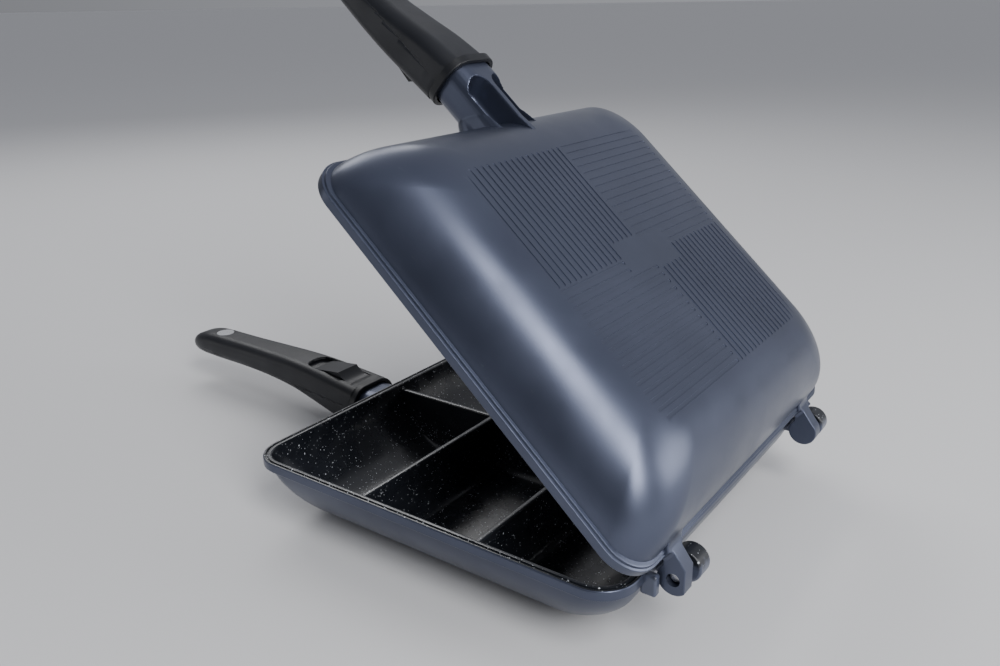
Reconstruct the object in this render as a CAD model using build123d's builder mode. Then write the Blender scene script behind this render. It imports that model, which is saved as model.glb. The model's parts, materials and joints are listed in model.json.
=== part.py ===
from build123d import *

import copy
import os
from math import asin, atan2, cos, degrees, radians, sin, sqrt, tan

os.makedirs("parts", exist_ok=True)

# A double sided flip pan: two shallow cast pans hinged along one side, each with a
# plug-on handle. Origin at the centre of the lower pan's resting face, +X along the
# hinge, +Y from the hinge towards the handles, +Z up. All sizes in millimetres.

# --- pans -----------------------------------------------------------------------
pan_width = 230.0
pan_length = 215.0
pan_depth = 38.0
rim_corner_radius = 18.0
rim_height = 6.0
rim_overhang = 2.6
rim_land = 4.4
rim_edge_radius = 0.8
shell_radius = 39.5
corner_swell = 6.0
bowl_steps = 7
floor_thickness = 3.4
channel_inset = 1.3
channel_width = 1.2
channel_depth = 1.0
bead_clearance = 0.2
bead_height = 0.6
rim_gap = 0.2

# --- compartments ---------------------------------------------------------------
compartment_rows = 3
divider_top_width = 3.0
divider_drop = 3.6
divider_fillet = 5.0
divider_foot_sink = 0.15

# --- grooves in the outer flats -------------------------------------------------
groove_pitch = 4.35
groove_width = 1.9
groove_depth = 0.4
groove_field_x = 77.0
groove_field_y = 66.9
groove_margin = 1.4
first_row = 0.5
first_column = 1.9
plain_strip_x = 43.0
plain_strip_y = 17.0

# --- hinge ----------------------------------------------------------------------
hinge_reach = 10.0
hinge_drop = 2.4
near_knuckle_inset = 32.5
far_knuckle_inset = 37.5
knuckle_radius = 7.3
knuckle_width = 8.0
knuckle_gap = 3.2
ear_width = 9.8
ear_skin = 1.5
root_reach = 3.4
pin_diameter = 5.84
pin_clearance = 0.08
pin_chamfer = 0.5
near_pin_recess = 3.0
far_knuckle_skin = 1.5
pin_end_gap = 0.8
arm_underside = 0.5
arm_front_gap = 0.7
arm_crest = 7.8
arm_slope = 11.0
facet_distance = 5.1
stop_lug_width = 4.2
stop_lug_reach = 5.0
stop_lug_height = 10.0
stop_lug_gap = 0.8
stop_tab_width = 4.0
stop_tab_reach = 2.0
stop_tab_gap = 0.8
lid_open_angle = 42.0

# --- handle stub, plug and collar -----------------------------------------------
collar_reach = 20.5
stub_width = 31.0
stub_height = 25.2
stub_corner = 9.5
socket_drop = 20.9
stub_flare = 4.0
stub_flare_length = 8.0
stub_entry = 2.0
stub_root = 48.0
pocket_rib_width = 3.3
pocket_rim = 0.7
pocket_depth = 2.6
pocket_end_gap = 7.0
pocket_fillet = 1.2
tongue_width = 21.0
tongue_height = 7.0
tongue_drop = 21.5
tongue_length = 22.0
tongue_corner = 2.5
tongue_clearance = 0.2
collar_length = 4.0
collar_width = 36.8
collar_height = 30.8
collar_corner = 12.0
collar_gap = 0.8
collar_edge_radius = 0.6
collar_plate_gap = 0.3
collar_lip_length = 3.0
collar_lip_thickness = 1.4

# --- grip -----------------------------------------------------------------------
grip_wall = 2.2
grip_top_radius = 4.0
grip_bottom_radius = 9.0
grip_cavity_end = 130.0
grip_tip_radius = 1.6
crease_drop_front = 19.0
crease_rise = 8.0
fit_clearance = 0.15
# distance from the collar's front face, half width, top and bottom below the parting face
grip_stations = [
    (4.0, 16.3, 6.5, 33.4),
    (22.0, 15.9, 4.4, 30.6),
    (42.0, 14.9, 2.2, 26.0),
    (62.0, 13.8, 1.0, 21.8),
    (87.0, 12.8, 0.6, 19.2),
    (112.0, 12.2, 0.6, 18.2),
    (142.0, 12.4, 0.6, 18.4),
    (160.0, 12.0, 1.3, 18.9),
    (170.0, 10.4, 3.0, 18.3),
    (175.5, 7.6, 5.4, 16.8),
    (178.0, 3.6, 8.4, 13.8),
]

# --- release button, latch and spring, in the sliding deck's own frame ----------
deck_angle = 6.0
deck_drop = 7.1
button_front = 11.0
button_crest = 22.5
button_rear = 44.0
button_width = 17.0
button_crest_height = 3.8
button_rear_sink = 0.8
button_corner = 2.5
button_dish = 1.6
release_travel = 6.0
slot_clearance = 0.4
slot_overrun = 2.6
slot_corner = 6.0
deck_wall = 2.2
flange_gap = 0.3
flange_thickness = 1.8
flange_width = 20.8
flange_front = 7.8
flange_rear = 56.0
flange_room = 0.4
flange_corner = 1.5
lever_width = 8.0
lever_thickness = 2.2
lever_top = 8.4
lever_front = 15.5
lever_rear = 48.0
lever_side_gap = 0.3
hook_length = 2.8
hook_width = 7.0
hook_bite = 2.0
hook_room = 1.0
pivot_along = 33.0
pivot_depth = 9.6
pivot_boss_radius = 2.8
pivot_pin_diameter = 3.0
pivot_clearance = 0.05
latch_ear_thickness = 1.6
latch_ear_radius = 3.2
latch_ear_foot = 7.0
latch_angle = 8.0
cam_front = 36.6
cam_length = 3.4
cam_gap = 0.5
cam_width = 6.0
ramp_lead = 0.5
ramp_gap = 0.2
seat_thickness = 2.0
seat_depth = 11.5
seat_width = 9.0
spring_length = 18.0
spring_depth = 8.4
spring_radius = 2.5
spring_wire = 0.8
spring_coils = 7.5
spring_end_gap = 0.1
spring_stop_thickness = 2.0
socket_wall = 1.0
socket_length = 26.0

# --- magnet and screws ----------------------------------------------------------
magnet_along = 143.0
magnet_diameter = 12.6
magnet_thickness = 2.6
magnet_recess = 0.2
screw_along = (92.0, 143.0)
screw_shank_diameter = 2.6
screw_head_diameter = 5.4
screw_head_height = 2.4
screw_head_sink = 1.2
screw_clearance = 0.15
screw_edge = 0.4
screw_tip_cover = 2.0
boss_radius = 4.0
cradle_along = (12.0, 26.0)
cradle_thickness = 2.0
cradle_width = 16.0

# --- places worked out from the sizes -------------------------------------------
parting = pan_depth
rim_y = -pan_length / 2
hinge_y = rim_y - hinge_reach
hinge_z = parting - hinge_drop
root_y = rim_y + root_reach
knuckle_centres = [near_knuckle_inset - pan_width / 2, pan_width / 2 - far_knuckle_inset]
ear_offset = knuckle_width / 2 + knuckle_gap + ear_width / 2
pin_radius = pin_diameter / 2
knuckle_bore_radius = pin_radius + pin_clearance
channel_inner = channel_inset + channel_width
bead_outer = channel_inset + bead_clearance
bead_inner = channel_inner - bead_clearance
divider_y = [
    (row / compartment_rows - 0.5) * (pan_length - 2 * rim_land)
    for row in range(1, compartment_rows)
]

collar_y = pan_length / 2 + collar_reach
socket_z = parting - socket_drop

# A pocket opens along the chord from the stub's rib to the rim that it leaves at the side.
pocket_reach = stub_width / 2 - pocket_rim
pocket_rise = stub_corner - sqrt(stub_corner**2 - (stub_corner - pocket_rim) ** 2)
pocket_run = pocket_reach - pocket_rib_width / 2
pocket_width = sqrt(pocket_run**2 + pocket_rise**2)
pocket_plane = Plane(
    origin=(
        (pocket_reach + pocket_rib_width / 2) / 2,
        0,
        socket_z - (stub_height - pocket_rise) / 2,
    ),
    x_dir=(0, 1, 0),
    z_dir=(-pocket_rise, 0, pocket_run),
)
grip_end = grip_stations[-1][0]
lip_outer = grip_wall + fit_clearance
lip_inner = lip_outer + collar_lip_thickness
lip_ends = (collar_length, collar_length + collar_lip_length)
sleeve_width = tongue_width + 2 * (tongue_clearance + socket_wall)
sleeve_height = tongue_height + 2 * (tongue_clearance + socket_wall)
sleeve_end = collar_length + socket_length
sleeve_corner = tongue_corner + tongue_clearance + socket_wall

# The button and its latch work in a frame that slopes with the top of the grip:
# first the distance along its slide, then the height above its deck.
deck_sine = sin(radians(deck_angle))
deck_cosine = cos(radians(deck_angle))
deck = Plane(
    origin=(0, collar_y, parting - deck_drop),
    x_dir=(1, 0, 0),
    z_dir=(0, -deck_sine, deck_cosine),
)
flange_top = deck_wall + flange_gap
pivot = (pivot_along, -pivot_depth)
pivot_pin_radius = pivot_pin_diameter / 2
ear_inner = lever_width / 2 + lever_side_gap
hook_along = lever_front + hook_length / 2
tongue_top_drop = tongue_drop - tongue_height / 2
hook_level = (deck_drop - tongue_top_drop - hook_along * deck_sine) / deck_cosine
hook_tip = hook_level - hook_bite
cam_rear = cam_front + cam_length
cam_depth = lever_top - cam_gap
ramp_start = cam_rear + ramp_lead
tail_drop = (cam_rear + release_travel - pivot_along) * sin(radians(latch_angle))
ramp_slope = (tail_drop + cam_gap - ramp_gap) / (release_travel - ramp_lead)
spring_front = flange_rear + spring_end_gap
spring_stop = spring_front + spring_length + spring_end_gap
button_dish_point = (
    (button_front + button_crest) / 2,
    button_crest_height / 2 - button_dish,
)

# plane where the two shells of the grip meet, sloping towards its tip
crease_slope = atan2(crease_rise, grip_end)
crease = Plane(
    origin=(0, collar_y, parting - crease_drop_front),
    x_dir=(1, 0, 0),
    z_dir=(0, -sin(crease_slope), cos(crease_slope)),
)

# The upper pan stands open. Shut, it lies over the lower pan with a hair's gap
# between the rims, and its form is the lower one turned over about the middle of it.
lid_rim = parting + rim_gap
hinge_place = Location((0, hinge_y, hinge_z))
lid_swing = hinge_place * Location((0, 0, 0), (lid_open_angle, 0, 0)) * hinge_place.inverse()
turn_level = (parting + lid_rim) / 2
turned_over = (
    Location((0, 0, turn_level))
    * Location((0, 0, 0), (0, 180, 0))
    * Location((0, 0, -turn_level))
)
arm_rise = (root_y - hinge_y) * tan(radians(arm_slope))
handle_places = {"base": Location(), "lid": lid_swing * turned_over}


def cross_plane(distance):
    """Upright plane across the handle, seen with X to the right and Z up."""
    return Plane.XZ.offset(-distance)


def side_plane(distance):
    """Upright plane along the handle, seen with Y to the right and Z up."""
    return Plane.YZ.offset(distance)


def deck_side(distance):
    """Plane along the deck's slide, first axis along the slide and second away from it."""
    return Plane(origin=deck.origin, x_dir=deck.y_dir, z_dir=deck.x_dir).offset(distance)


def grip_at(distance):
    """Half width, top and bottom of the grip at a distance behind the collar's front face."""
    for near, far in zip(grip_stations, grip_stations[1:]):
        if distance <= far[0]:
            share = (distance - near[0]) / (far[0] - near[0])
            return [a + share * (b - a) for a, b in zip(near[1:], far[1:])]
    return list(grip_stations[-1][1:])


def grip_section(distance, inset):
    """One cross section of the grip, or of its hollow when inset is the wall."""
    half_width, top, bottom = grip_at(distance)
    height = bottom - top - 2 * inset
    room = min(half_width - inset, height / 2) - 0.2
    with BuildSketch(cross_plane(collar_y + distance)) as section:
        with Locations((0, parting - (top + bottom) / 2)):
            Rectangle(2 * (half_width - inset), height)
        corners = section.vertices().group_by(Axis.Z)
        fillet(corners[-1], min(max(grip_top_radius - inset, 1), room * 0.6))
        fillet(corners[0], min(grip_bottom_radius - inset, room * 0.9))
    return section.sketch


def grip_loft(end, inset, mode=Mode.ADD):
    """Loft the grip, or its hollow, from the collar's rear face to a distance."""
    stations = [station[0] for station in grip_stations if station[0] < end]
    loft([grip_section(distance, inset) for distance in stations + [end]], mode=mode)


def pan_section(level, inset, corner):
    """One level section of a pan's shell or of its hollow."""
    with BuildSketch(Plane.XY.offset(level)) as section:
        RectangleRounded(pan_width - 2 * inset, pan_length - 2 * inset, corner)
    return section.sketch


def bowl(radius, start_inset, start_level, corner, floor_level):
    """Loft a pan's outer or inner form from its start level down to its flat floor."""
    centre_level = floor_level + radius
    first = degrees(asin((centre_level - start_level) / radius))
    centre_inset = start_inset + radius * cos(radians(first))
    sections = []
    for step in range(bowl_steps + 1):
        angle = first + (90 - first) * step / bowl_steps
        inset = centre_inset - radius * cos(radians(angle))
        swell = corner_swell * sin(radians(2 * angle))
        level = centre_level - radius * sin(radians(angle))
        sections.append(pan_section(level, inset, corner + swell))
    loft(sections)


def socket_section(distance, width, height, corner, drop):
    """One rounded cross section on the line of the stub and its plug."""
    with BuildSketch(cross_plane(distance)) as section:
        with Locations((0, parting - drop)):
            RectangleRounded(width, height, corner)
    return section.sketch


def deck_point(distance, drop):
    """A point on the handle's middle plane, in the deck's own frame."""
    rise = deck_drop - drop
    return (
        distance * deck_cosine + rise * deck_sine,
        rise * deck_cosine - distance * deck_sine,
    )


def divider_profile(plane, middles):
    """Upright dividers with rounded feet, drawn across a plane at their middles."""
    foot = divider_top_width / 2 + divider_fillet
    round_level = floor_thickness + divider_fillet - divider_foot_sink
    round_centres = [(middle + side * foot, round_level) for middle in middles for side in (-1, 1)]
    with BuildSketch(plane) as profile:
        with Locations(*[(middle, round_level) for middle in middles]):
            Rectangle(2 * foot, round_level, align=(Align.CENTER, Align.MAX))
        with Locations(*round_centres):
            Circle(divider_fillet, mode=Mode.SUBTRACT)
        with Locations(*[(middle, parting - divider_drop) for middle in middles]):
            Rectangle(
                divider_top_width,
                pan_depth - divider_drop,
                align=(Align.CENTER, Align.MAX),
            )
    return profile.sketch


def write_handle_piece(builder, name):
    """Write the lower and the upper handle's copy of a piece."""
    for side, place in handle_places.items():
        piece = copy.copy(builder.part).moved(place)
        piece.label = f"{side}_{name}"
        export_step(piece, f"parts/{piece.label}.step")


# --- the form shared by both pans, drawn as the lower one -----------------------
with BuildPart() as hollow:
    bowl(
        shell_radius - floor_thickness,
        rim_land,
        parting,
        rim_corner_radius - rim_land,
        floor_thickness,
    )

# one of two pockets in the stub's outer corners, which leave a rib between them
with BuildPart() as pocket:
    with BuildSketch(pocket_plane.offset(-stub_corner)):
        with Locations((collar_y - pocket_end_gap - pocket_width / 2, 0)):
            Circle(pocket_width / 2)
            Rectangle(stub_root, pocket_width, align=(Align.MAX, Align.CENTER))
    extrude(amount=stub_corner + pocket_depth)
    pocket_floor = pocket.faces().sort_by(Axis((0, 0, 0), pocket_plane.z_dir))[-1]
    fillet(pocket_floor.edges().sort_by(Axis.Y)[1:], pocket_fillet)
    split(bisect_by=Plane.YZ.offset(pocket_rib_width / 2), keep=Keep.TOP)

with BuildPart() as stub:
    extrude(
        socket_section(collar_y + stub_entry, stub_width, stub_height, stub_corner, socket_drop),
        amount=stub_root,
    )
    loft([
        socket_section(
            pan_length / 2 - rim_overhang,
            stub_width + 2 * stub_flare,
            stub_height,
            stub_corner,
            socket_drop,
        ),
        socket_section(
            pan_length / 2 + stub_flare_length,
            stub_width,
            stub_height,
            stub_corner,
            socket_drop,
        ),
    ])
    add(pocket.part, mode=Mode.SUBTRACT)
    mirror(pocket.part, about=Plane.YZ, mode=Mode.SUBTRACT)

with BuildPart() as pan_form:
    with BuildSketch(Plane.XY.offset(parting - rim_height)):
        RectangleRounded(pan_width, pan_length, rim_corner_radius)
    extrude(amount=rim_height)
    fillet(pan_form.edges().group_by(Axis.Z)[-1], rim_edge_radius)
    bowl(shell_radius, rim_overhang, parting - rim_height, rim_corner_radius - rim_overhang, 0)
    add(stub.part)
    # the plug that carries the handle, with a notch for its latch
    extrude(
        socket_section(collar_y, tongue_width, tongue_height, tongue_corner, tongue_drop),
        amount=-stub_entry - tongue_length,
    )
    with BuildSketch(deck_side(0)):
        with Locations((hook_along, hook_tip - hook_room)):
            Rectangle(
                hook_length + 2 * hook_room,
                hook_bite + 3 * hook_room,
                align=(Align.CENTER, Align.MIN),
            )
    extrude(amount=hook_width / 2 + hook_room, both=True, mode=Mode.SUBTRACT)
    # grooves of the outer flat, in four fields around a plain strip
    with BuildSketch(Plane.XY):
        for x_sign, y_sign in ((1, 1), (1, -1), (-1, 1), (-1, -1)):
            runs_along_x = x_sign * y_sign < 0
            span, reach = groove_field_x, groove_field_y
            strip_start, strip_side = plain_strip_x / 2, plain_strip_y / 2
            if not runs_along_x:
                span, reach = reach, span
                strip_start, strip_side = strip_side, strip_start
            first = first_row if runs_along_x else first_column
            for row in range(int((reach - first - groove_width / 2) / groove_pitch) + 1):
                across = first + groove_pitch * row
                start = groove_margin
                if across < strip_side:
                    start += strip_start
                middle = ((span + start) / 2, across)
                if not runs_along_x:
                    middle = (middle[1], middle[0])
                with Locations((x_sign * middle[0], y_sign * middle[1])):
                    SlotOverall(span - start, groove_width, rotation=0 if runs_along_x else 90)
    extrude(amount=groove_depth, mode=Mode.SUBTRACT)

# --- lower pan ------------------------------------------------------------------
with BuildPart() as compartments:
    add(hollow.part)
    extrude(divider_profile(Plane.YZ, divider_y), amount=pan_width, both=True, mode=Mode.SUBTRACT)
    extrude(divider_profile(Plane.XZ, [0]), amount=pan_length, both=True, mode=Mode.SUBTRACT)

with BuildPart() as base_pan:
    add(pan_form.part)
    add(compartments.part, mode=Mode.SUBTRACT)
    # channel in the rim for the upper pan's bead
    with BuildSketch(Plane.XY.offset(parting)):
        RectangleRounded(
            pan_width - 2 * channel_inset,
            pan_length - 2 * channel_inset,
            rim_corner_radius - channel_inset,
        )
        RectangleRounded(
            pan_width - 2 * channel_inner,
            pan_length - 2 * channel_inner,
            rim_corner_radius - channel_inner,
            mode=Mode.SUBTRACT,
        )
    extrude(amount=-channel_depth, mode=Mode.SUBTRACT)
    # hinge ears
    for centre in knuckle_centres:
        with BuildSketch(side_plane(centre + ear_offset)):
            with Locations((hinge_y, hinge_z)):
                Circle(knuckle_radius)
            with BuildLine():
                Polyline(
                    (hinge_y, hinge_z - knuckle_radius),
                    (root_y, hinge_z - knuckle_radius),
                    (root_y, parting - rim_edge_radius),
                    (rim_y + rim_edge_radius, parting - rim_edge_radius),
                    (rim_y - arm_front_gap, parting - arm_underside),
                    (hinge_y, hinge_z + knuckle_radius),
                    close=True,
                )
            make_face()
        extrude(amount=ear_width / 2, both=True)
        with BuildSketch(side_plane(centre + ear_offset - ear_width / 2)):
            with Locations((hinge_y, hinge_z)):
                Circle(pin_radius)
        extrude(amount=ear_width - ear_skin, mode=Mode.SUBTRACT)
    # lug that keeps the upper pan from sliding off its pins
    with BuildSketch(side_plane(knuckle_centres[0] - knuckle_width / 2 - stop_lug_gap)):
        with Locations((rim_y - stop_lug_reach, parting - arm_underside)):
            Rectangle(
                stop_lug_reach + rim_land / 2,
                stop_lug_height,
                align=(Align.MIN, Align.MAX),
            )
    extrude(amount=-stop_lug_width)
base_pan.part.label = "base_pan"
export_step(base_pan.part, "parts/base_pan.step")

# --- upper pan, made closed and then swung open ---------------------------------
with BuildPart() as lid_pan:
    add(pan_form.part.moved(turned_over))
    add(hollow.part.moved(turned_over), mode=Mode.SUBTRACT)
    with BuildSketch(Plane.XY.offset(lid_rim)):
        RectangleRounded(
            pan_width - 2 * bead_outer,
            pan_length - 2 * bead_outer,
            rim_corner_radius - bead_outer,
        )
        RectangleRounded(
            pan_width - 2 * bead_inner,
            pan_length - 2 * bead_inner,
            rim_corner_radius - bead_inner,
            mode=Mode.SUBTRACT,
        )
    extrude(amount=-bead_height)
    # hinge arms; the near one has a flat that faces away from the pans at rest
    for centre, crest in zip(knuckle_centres, (arm_crest, knuckle_radius)):
        with BuildSketch(side_plane(centre)):
            with Locations((hinge_y, hinge_z)):
                Circle(knuckle_radius)
            with BuildLine():
                Polyline(
                    (hinge_y, hinge_z + crest),
                    (root_y, hinge_z + crest + arm_rise),
                    (root_y, lid_rim + rim_edge_radius),
                    (rim_y + rim_edge_radius, lid_rim + rim_edge_radius),
                    (rim_y - arm_front_gap, lid_rim + arm_underside),
                    (hinge_y, hinge_z - knuckle_radius),
                    close=True,
                )
            make_face()
        extrude(amount=knuckle_width / 2, both=True)
    facet = Plane(
        origin=(knuckle_centres[0], hinge_y, hinge_z),
        x_dir=(1, 0, 0),
        z_dir=(0, -cos(radians(lid_open_angle)), sin(radians(lid_open_angle))),
    )
    with BuildSketch(facet.offset(facet_distance)):
        Rectangle(2 * knuckle_width, 3 * knuckle_radius)
    extrude(amount=knuckle_radius, mode=Mode.SUBTRACT)
    with BuildSketch(side_plane(knuckle_centres[0] - knuckle_width / 2)):
        with Locations((hinge_y, hinge_z)):
            Circle(knuckle_bore_radius)
    extrude(amount=knuckle_width, mode=Mode.SUBTRACT)
    with BuildSketch(side_plane(knuckle_centres[1] + knuckle_width / 2)):
        with Locations((hinge_y, hinge_z)):
            Circle(knuckle_bore_radius)
    extrude(amount=far_knuckle_skin - knuckle_width, mode=Mode.SUBTRACT)
    # short tab beside the far arm
    with BuildSketch(side_plane(knuckle_centres[1] + knuckle_width / 2 + stop_tab_gap)):
        with Locations((rim_y - stop_tab_reach, lid_rim + rim_height)):
            Rectangle(
                stop_tab_reach + rim_land / 2,
                rim_height - rim_edge_radius,
                align=(Align.MIN, Align.MAX),
            )
    extrude(amount=stop_tab_width)
lid_pan.part.move(lid_swing)
lid_pan.part.label = "lid_pan"
export_step(lid_pan.part, "parts/lid_pan.step")

# --- hinge pins, pressed in the ears --------------------------------------------
pin_starts = {
    "near": knuckle_centres[0] - knuckle_width / 2 + near_pin_recess,
    "far": knuckle_centres[1] - knuckle_width / 2 + far_knuckle_skin + pin_end_gap,
}
for (side, start), centre in zip(pin_starts.items(), knuckle_centres):
    with BuildPart() as hinge_pin:
        with BuildSketch(side_plane(start)):
            with Locations((hinge_y, hinge_z)):
                Circle(pin_radius)
        extrude(amount=centre + ear_offset + ear_width / 2 - ear_skin - start)
        chamfer(hinge_pin.edges().group_by(Axis.X)[0], pin_chamfer)
    hinge_pin.part.label = f"hinge_pin_{side}"
    export_step(hinge_pin.part, f"parts/hinge_pin_{side}.step")

# --- collar, the ring between stub and grip -------------------------------------
with BuildPart() as collar:
    extrude(
        socket_section(collar_y, collar_width, collar_height, collar_corner, socket_drop),
        amount=-collar_length,
    )
    fillet(collar.edges().group_by(Axis.Y)[0], collar_edge_radius)
    extrude(
        socket_section(
            collar_y,
            stub_width + 2 * collar_gap,
            stub_height + 2 * collar_gap,
            stub_corner + collar_gap,
            socket_drop,
        ),
        amount=-stub_entry - collar_plate_gap,
        mode=Mode.SUBTRACT,
    )
    loft([grip_section(distance, lip_outer) for distance in lip_ends])
    loft([grip_section(distance, lip_inner) for distance in lip_ends], mode=Mode.SUBTRACT)
    extrude(
        socket_section(
            collar_y,
            tongue_width + 2 * tongue_clearance,
            tongue_height + 2 * tongue_clearance,
            tongue_corner + tongue_clearance,
            tongue_drop,
        ),
        amount=-collar_length,
        mode=Mode.SUBTRACT,
    )
write_handle_piece(collar, "handle_collar")

# --- socket sleeve that takes the plug, with ears for the latch -----------------
with BuildPart() as sleeve:
    extrude(
        socket_section(
            collar_y + collar_length,
            sleeve_width,
            sleeve_height,
            sleeve_corner,
            tongue_drop,
        ),
        amount=-socket_length,
    )
    for side in (-1, 1):
        with BuildSketch(deck_side(side * ear_inner)):
            with Locations(pivot):
                Circle(latch_ear_radius)
            with Locations(deck_point(sleeve_end, tongue_drop - sleeve_height / 2)):
                Rectangle(latch_ear_foot, socket_wall, align=(Align.MAX, Align.MAX))
            make_hull()
        extrude(amount=side * latch_ear_thickness)
    extrude(
        socket_section(
            collar_y + collar_length,
            tongue_width + 2 * tongue_clearance,
            tongue_height + 2 * tongue_clearance,
            tongue_corner + tongue_clearance,
            tongue_drop,
        ),
        amount=-socket_length,
        mode=Mode.SUBTRACT,
    )
    with BuildSketch(deck_side(0)):
        with Locations((hook_along, hook_level)):
            Rectangle(hook_length + 2 * hook_room, tongue_height)
    extrude(amount=hook_width / 2 + lever_side_gap, both=True, mode=Mode.SUBTRACT)
    with BuildSketch(deck_side(0)):
        with Locations(pivot):
            Circle(pivot_pin_radius)
    extrude(amount=ear_inner + latch_ear_thickness, both=True, mode=Mode.SUBTRACT)
write_handle_piece(sleeve, "socket_sleeve")

# --- latch lever and its pin ----------------------------------------------------
with BuildPart() as lever:
    with BuildSketch(deck_side(0)):
        with BuildLine():
            Polyline(
                (lever_front, -lever_top),
                (ramp_start, -lever_top),
                (lever_rear, -lever_top + ramp_slope * (lever_rear - ramp_start)),
                (lever_rear, -lever_top - lever_thickness),
                (lever_front, -lever_top - lever_thickness),
                close=True,
            )
        make_face()
        with Locations(pivot):
            Circle(pivot_boss_radius)
        with Locations((pivot_along, -lever_top)):
            Rectangle(
                3 * pivot_boss_radius,
                pivot_boss_radius,
                align=(Align.CENTER, Align.MIN),
                mode=Mode.SUBTRACT,
            )
    extrude(amount=lever_width / 2, both=True)
    with BuildSketch(deck_side(0)):
        with BuildLine():
            Polyline(
                (hook_along - hook_length / 2, -lever_top - lever_thickness / 2),
                (hook_along + hook_length / 2, -lever_top - lever_thickness / 2),
                (hook_along + hook_length / 2, hook_tip + hook_bite / 2),
                (hook_along + hook_length / 4, hook_tip),
                (hook_along - hook_length / 2, hook_tip),
                close=True,
            )
        make_face()
    extrude(amount=hook_width / 2, both=True)
    with BuildSketch(deck_side(0)):
        with Locations(pivot):
            Circle(pivot_pin_radius + pivot_clearance)
    extrude(amount=lever_width, both=True, mode=Mode.SUBTRACT)
write_handle_piece(lever, "latch_lever")

with BuildPart() as lever_pin:
    with BuildSketch(deck_side(0)):
        with Locations(pivot):
            Circle(pivot_pin_radius)
    extrude(amount=ear_inner + latch_ear_thickness, both=True)
    chamfer(lever_pin.edges().filter_by(GeomType.CIRCLE), pin_chamfer)
write_handle_piece(lever_pin, "lever_pin")

# --- release slider: button, guide flange, cam and spring seat -------------------
with BuildPart() as slider:
    with BuildSketch(deck_side(0)):
        with BuildLine():
            Line((button_front, -flange_top), (button_front, 0))
            ThreePointArc((button_front, 0), button_dish_point, (button_crest, button_crest_height))
            Polyline(
                (button_crest, button_crest_height),
                (button_rear, -button_rear_sink),
                (button_rear, -flange_top),
                (button_front, -flange_top),
            )
        make_face()
    extrude(amount=button_width / 2, both=True)
    uprights = slider.edges().filter_by(Axis(deck.origin, deck.z_dir))
    fillet(uprights.group_by(Axis(deck.origin, deck.y_dir))[-1], button_corner)
    with BuildSketch(deck.offset(-flange_top)):
        with Locations((0, (flange_front + flange_rear) / 2)):
            RectangleRounded(flange_width, flange_rear - flange_front, flange_corner)
    extrude(amount=-flange_thickness)
    with BuildSketch(deck_side(0)):
        with Locations((cam_front, -flange_top)):
            Rectangle(cam_length, cam_depth - flange_top, align=(Align.MIN, Align.MAX))
    extrude(amount=cam_width / 2, both=True)
    with BuildSketch(deck_side(0)):
        with Locations((flange_rear, -flange_top)):
            Rectangle(seat_thickness, seat_depth - flange_top, align=(Align.MAX, Align.MAX))
    extrude(amount=seat_width / 2, both=True)
write_handle_piece(slider, "release_slider")

# --- return spring between the slider's seat and the grip's stop ----------------
with BuildPart() as spring:
    with BuildLine() as coil:
        Helix(
            (spring_length - spring_wire) / spring_coils,
            spring_length - spring_wire,
            spring_radius,
            center=deck.from_local_coords((0, spring_front + spring_wire / 2, -spring_depth)),
            direction=deck.y_dir,
        )
    with BuildSketch(Plane(origin=coil.line @ 0, z_dir=coil.line % 0)):
        Circle(spring_wire / 2)
    sweep(path=coil.line, is_frenet=True)
write_handle_piece(spring, "return_spring")

# --- grip: hollow body, then its cover and its shell ----------------------------
with BuildPart() as grip:
    grip_loft(grip_end, 0)
    fillet(grip.edges().group_by(Axis.Y)[-1], grip_tip_radius)
    grip_loft(grip_cavity_end, grip_wall, Mode.SUBTRACT)
    _, boss_top, boss_bottom = grip_at(screw_along[0])
    with BuildSketch(Plane.XY.offset(parting - boss_bottom + grip_wall / 2)):
        with Locations((0, collar_y + screw_along[0])):
            Circle(boss_radius)
    extrude(amount=boss_bottom - boss_top - grip_wall)
    for distance in screw_along:
        _, top, bottom = grip_at(distance)
        tip_drop = top + magnet_recess + magnet_thickness + screw_tip_cover
        head_drop = bottom - screw_head_sink - screw_head_height
        with BuildSketch(Plane.XY.offset(parting - bottom)):
            with Locations((0, collar_y + distance)):
                Circle(screw_shank_diameter / 2)
        extrude(amount=bottom - tip_drop, mode=Mode.SUBTRACT)
        with BuildSketch(Plane.XY.offset(parting - head_drop)):
            with Locations((0, collar_y + distance)):
                Circle(screw_head_diameter / 2 + screw_clearance)
        extrude(amount=head_drop - bottom - grip_wall, mode=Mode.SUBTRACT)

with BuildPart() as cover:
    add(grip.part)
    split(bisect_by=crease, keep=Keep.TOP)
    # slot for the button, and room for its guide flange under the slot
    with BuildSketch(deck.offset(-flange_top)) as slot:
        with Locations((0, button_front - slot_clearance)):
            Rectangle(
                button_width + 2 * slot_clearance,
                button_rear + release_travel + slot_overrun - button_front + slot_clearance,
                align=(Align.CENTER, Align.MIN),
            )
        fillet(slot.vertices().group_by(Axis.Y)[-1], slot_corner)
    extrude(amount=2 * flange_top, mode=Mode.SUBTRACT)
    with BuildSketch(deck.offset(-deck_wall)):
        with Locations((0, flange_front - flange_room)):
            Rectangle(
                flange_width + 2 * flange_room,
                flange_rear + release_travel - flange_front + 2 * flange_room,
                align=(Align.CENTER, Align.MIN),
            )
    extrude(amount=-2 * flange_thickness, mode=Mode.SUBTRACT)
    # stop for the return spring
    with BuildSketch(deck_side(0)):
        with Locations((spring_stop, -flange_top)):
            Rectangle(
                spring_stop_thickness,
                seat_depth - flange_top,
                align=(Align.MIN, Align.MAX),
            )
    extrude(amount=seat_width / 2, both=True)
    # pocket for the magnet
    magnet_floor = grip_at(magnet_along)[1] + magnet_recess + magnet_thickness
    with BuildSketch(Plane.XY.offset(parting - magnet_floor)):
        with Locations((0, collar_y + magnet_along)):
            Circle(magnet_diameter / 2 + fit_clearance)
    extrude(amount=magnet_floor, mode=Mode.SUBTRACT)
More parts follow.
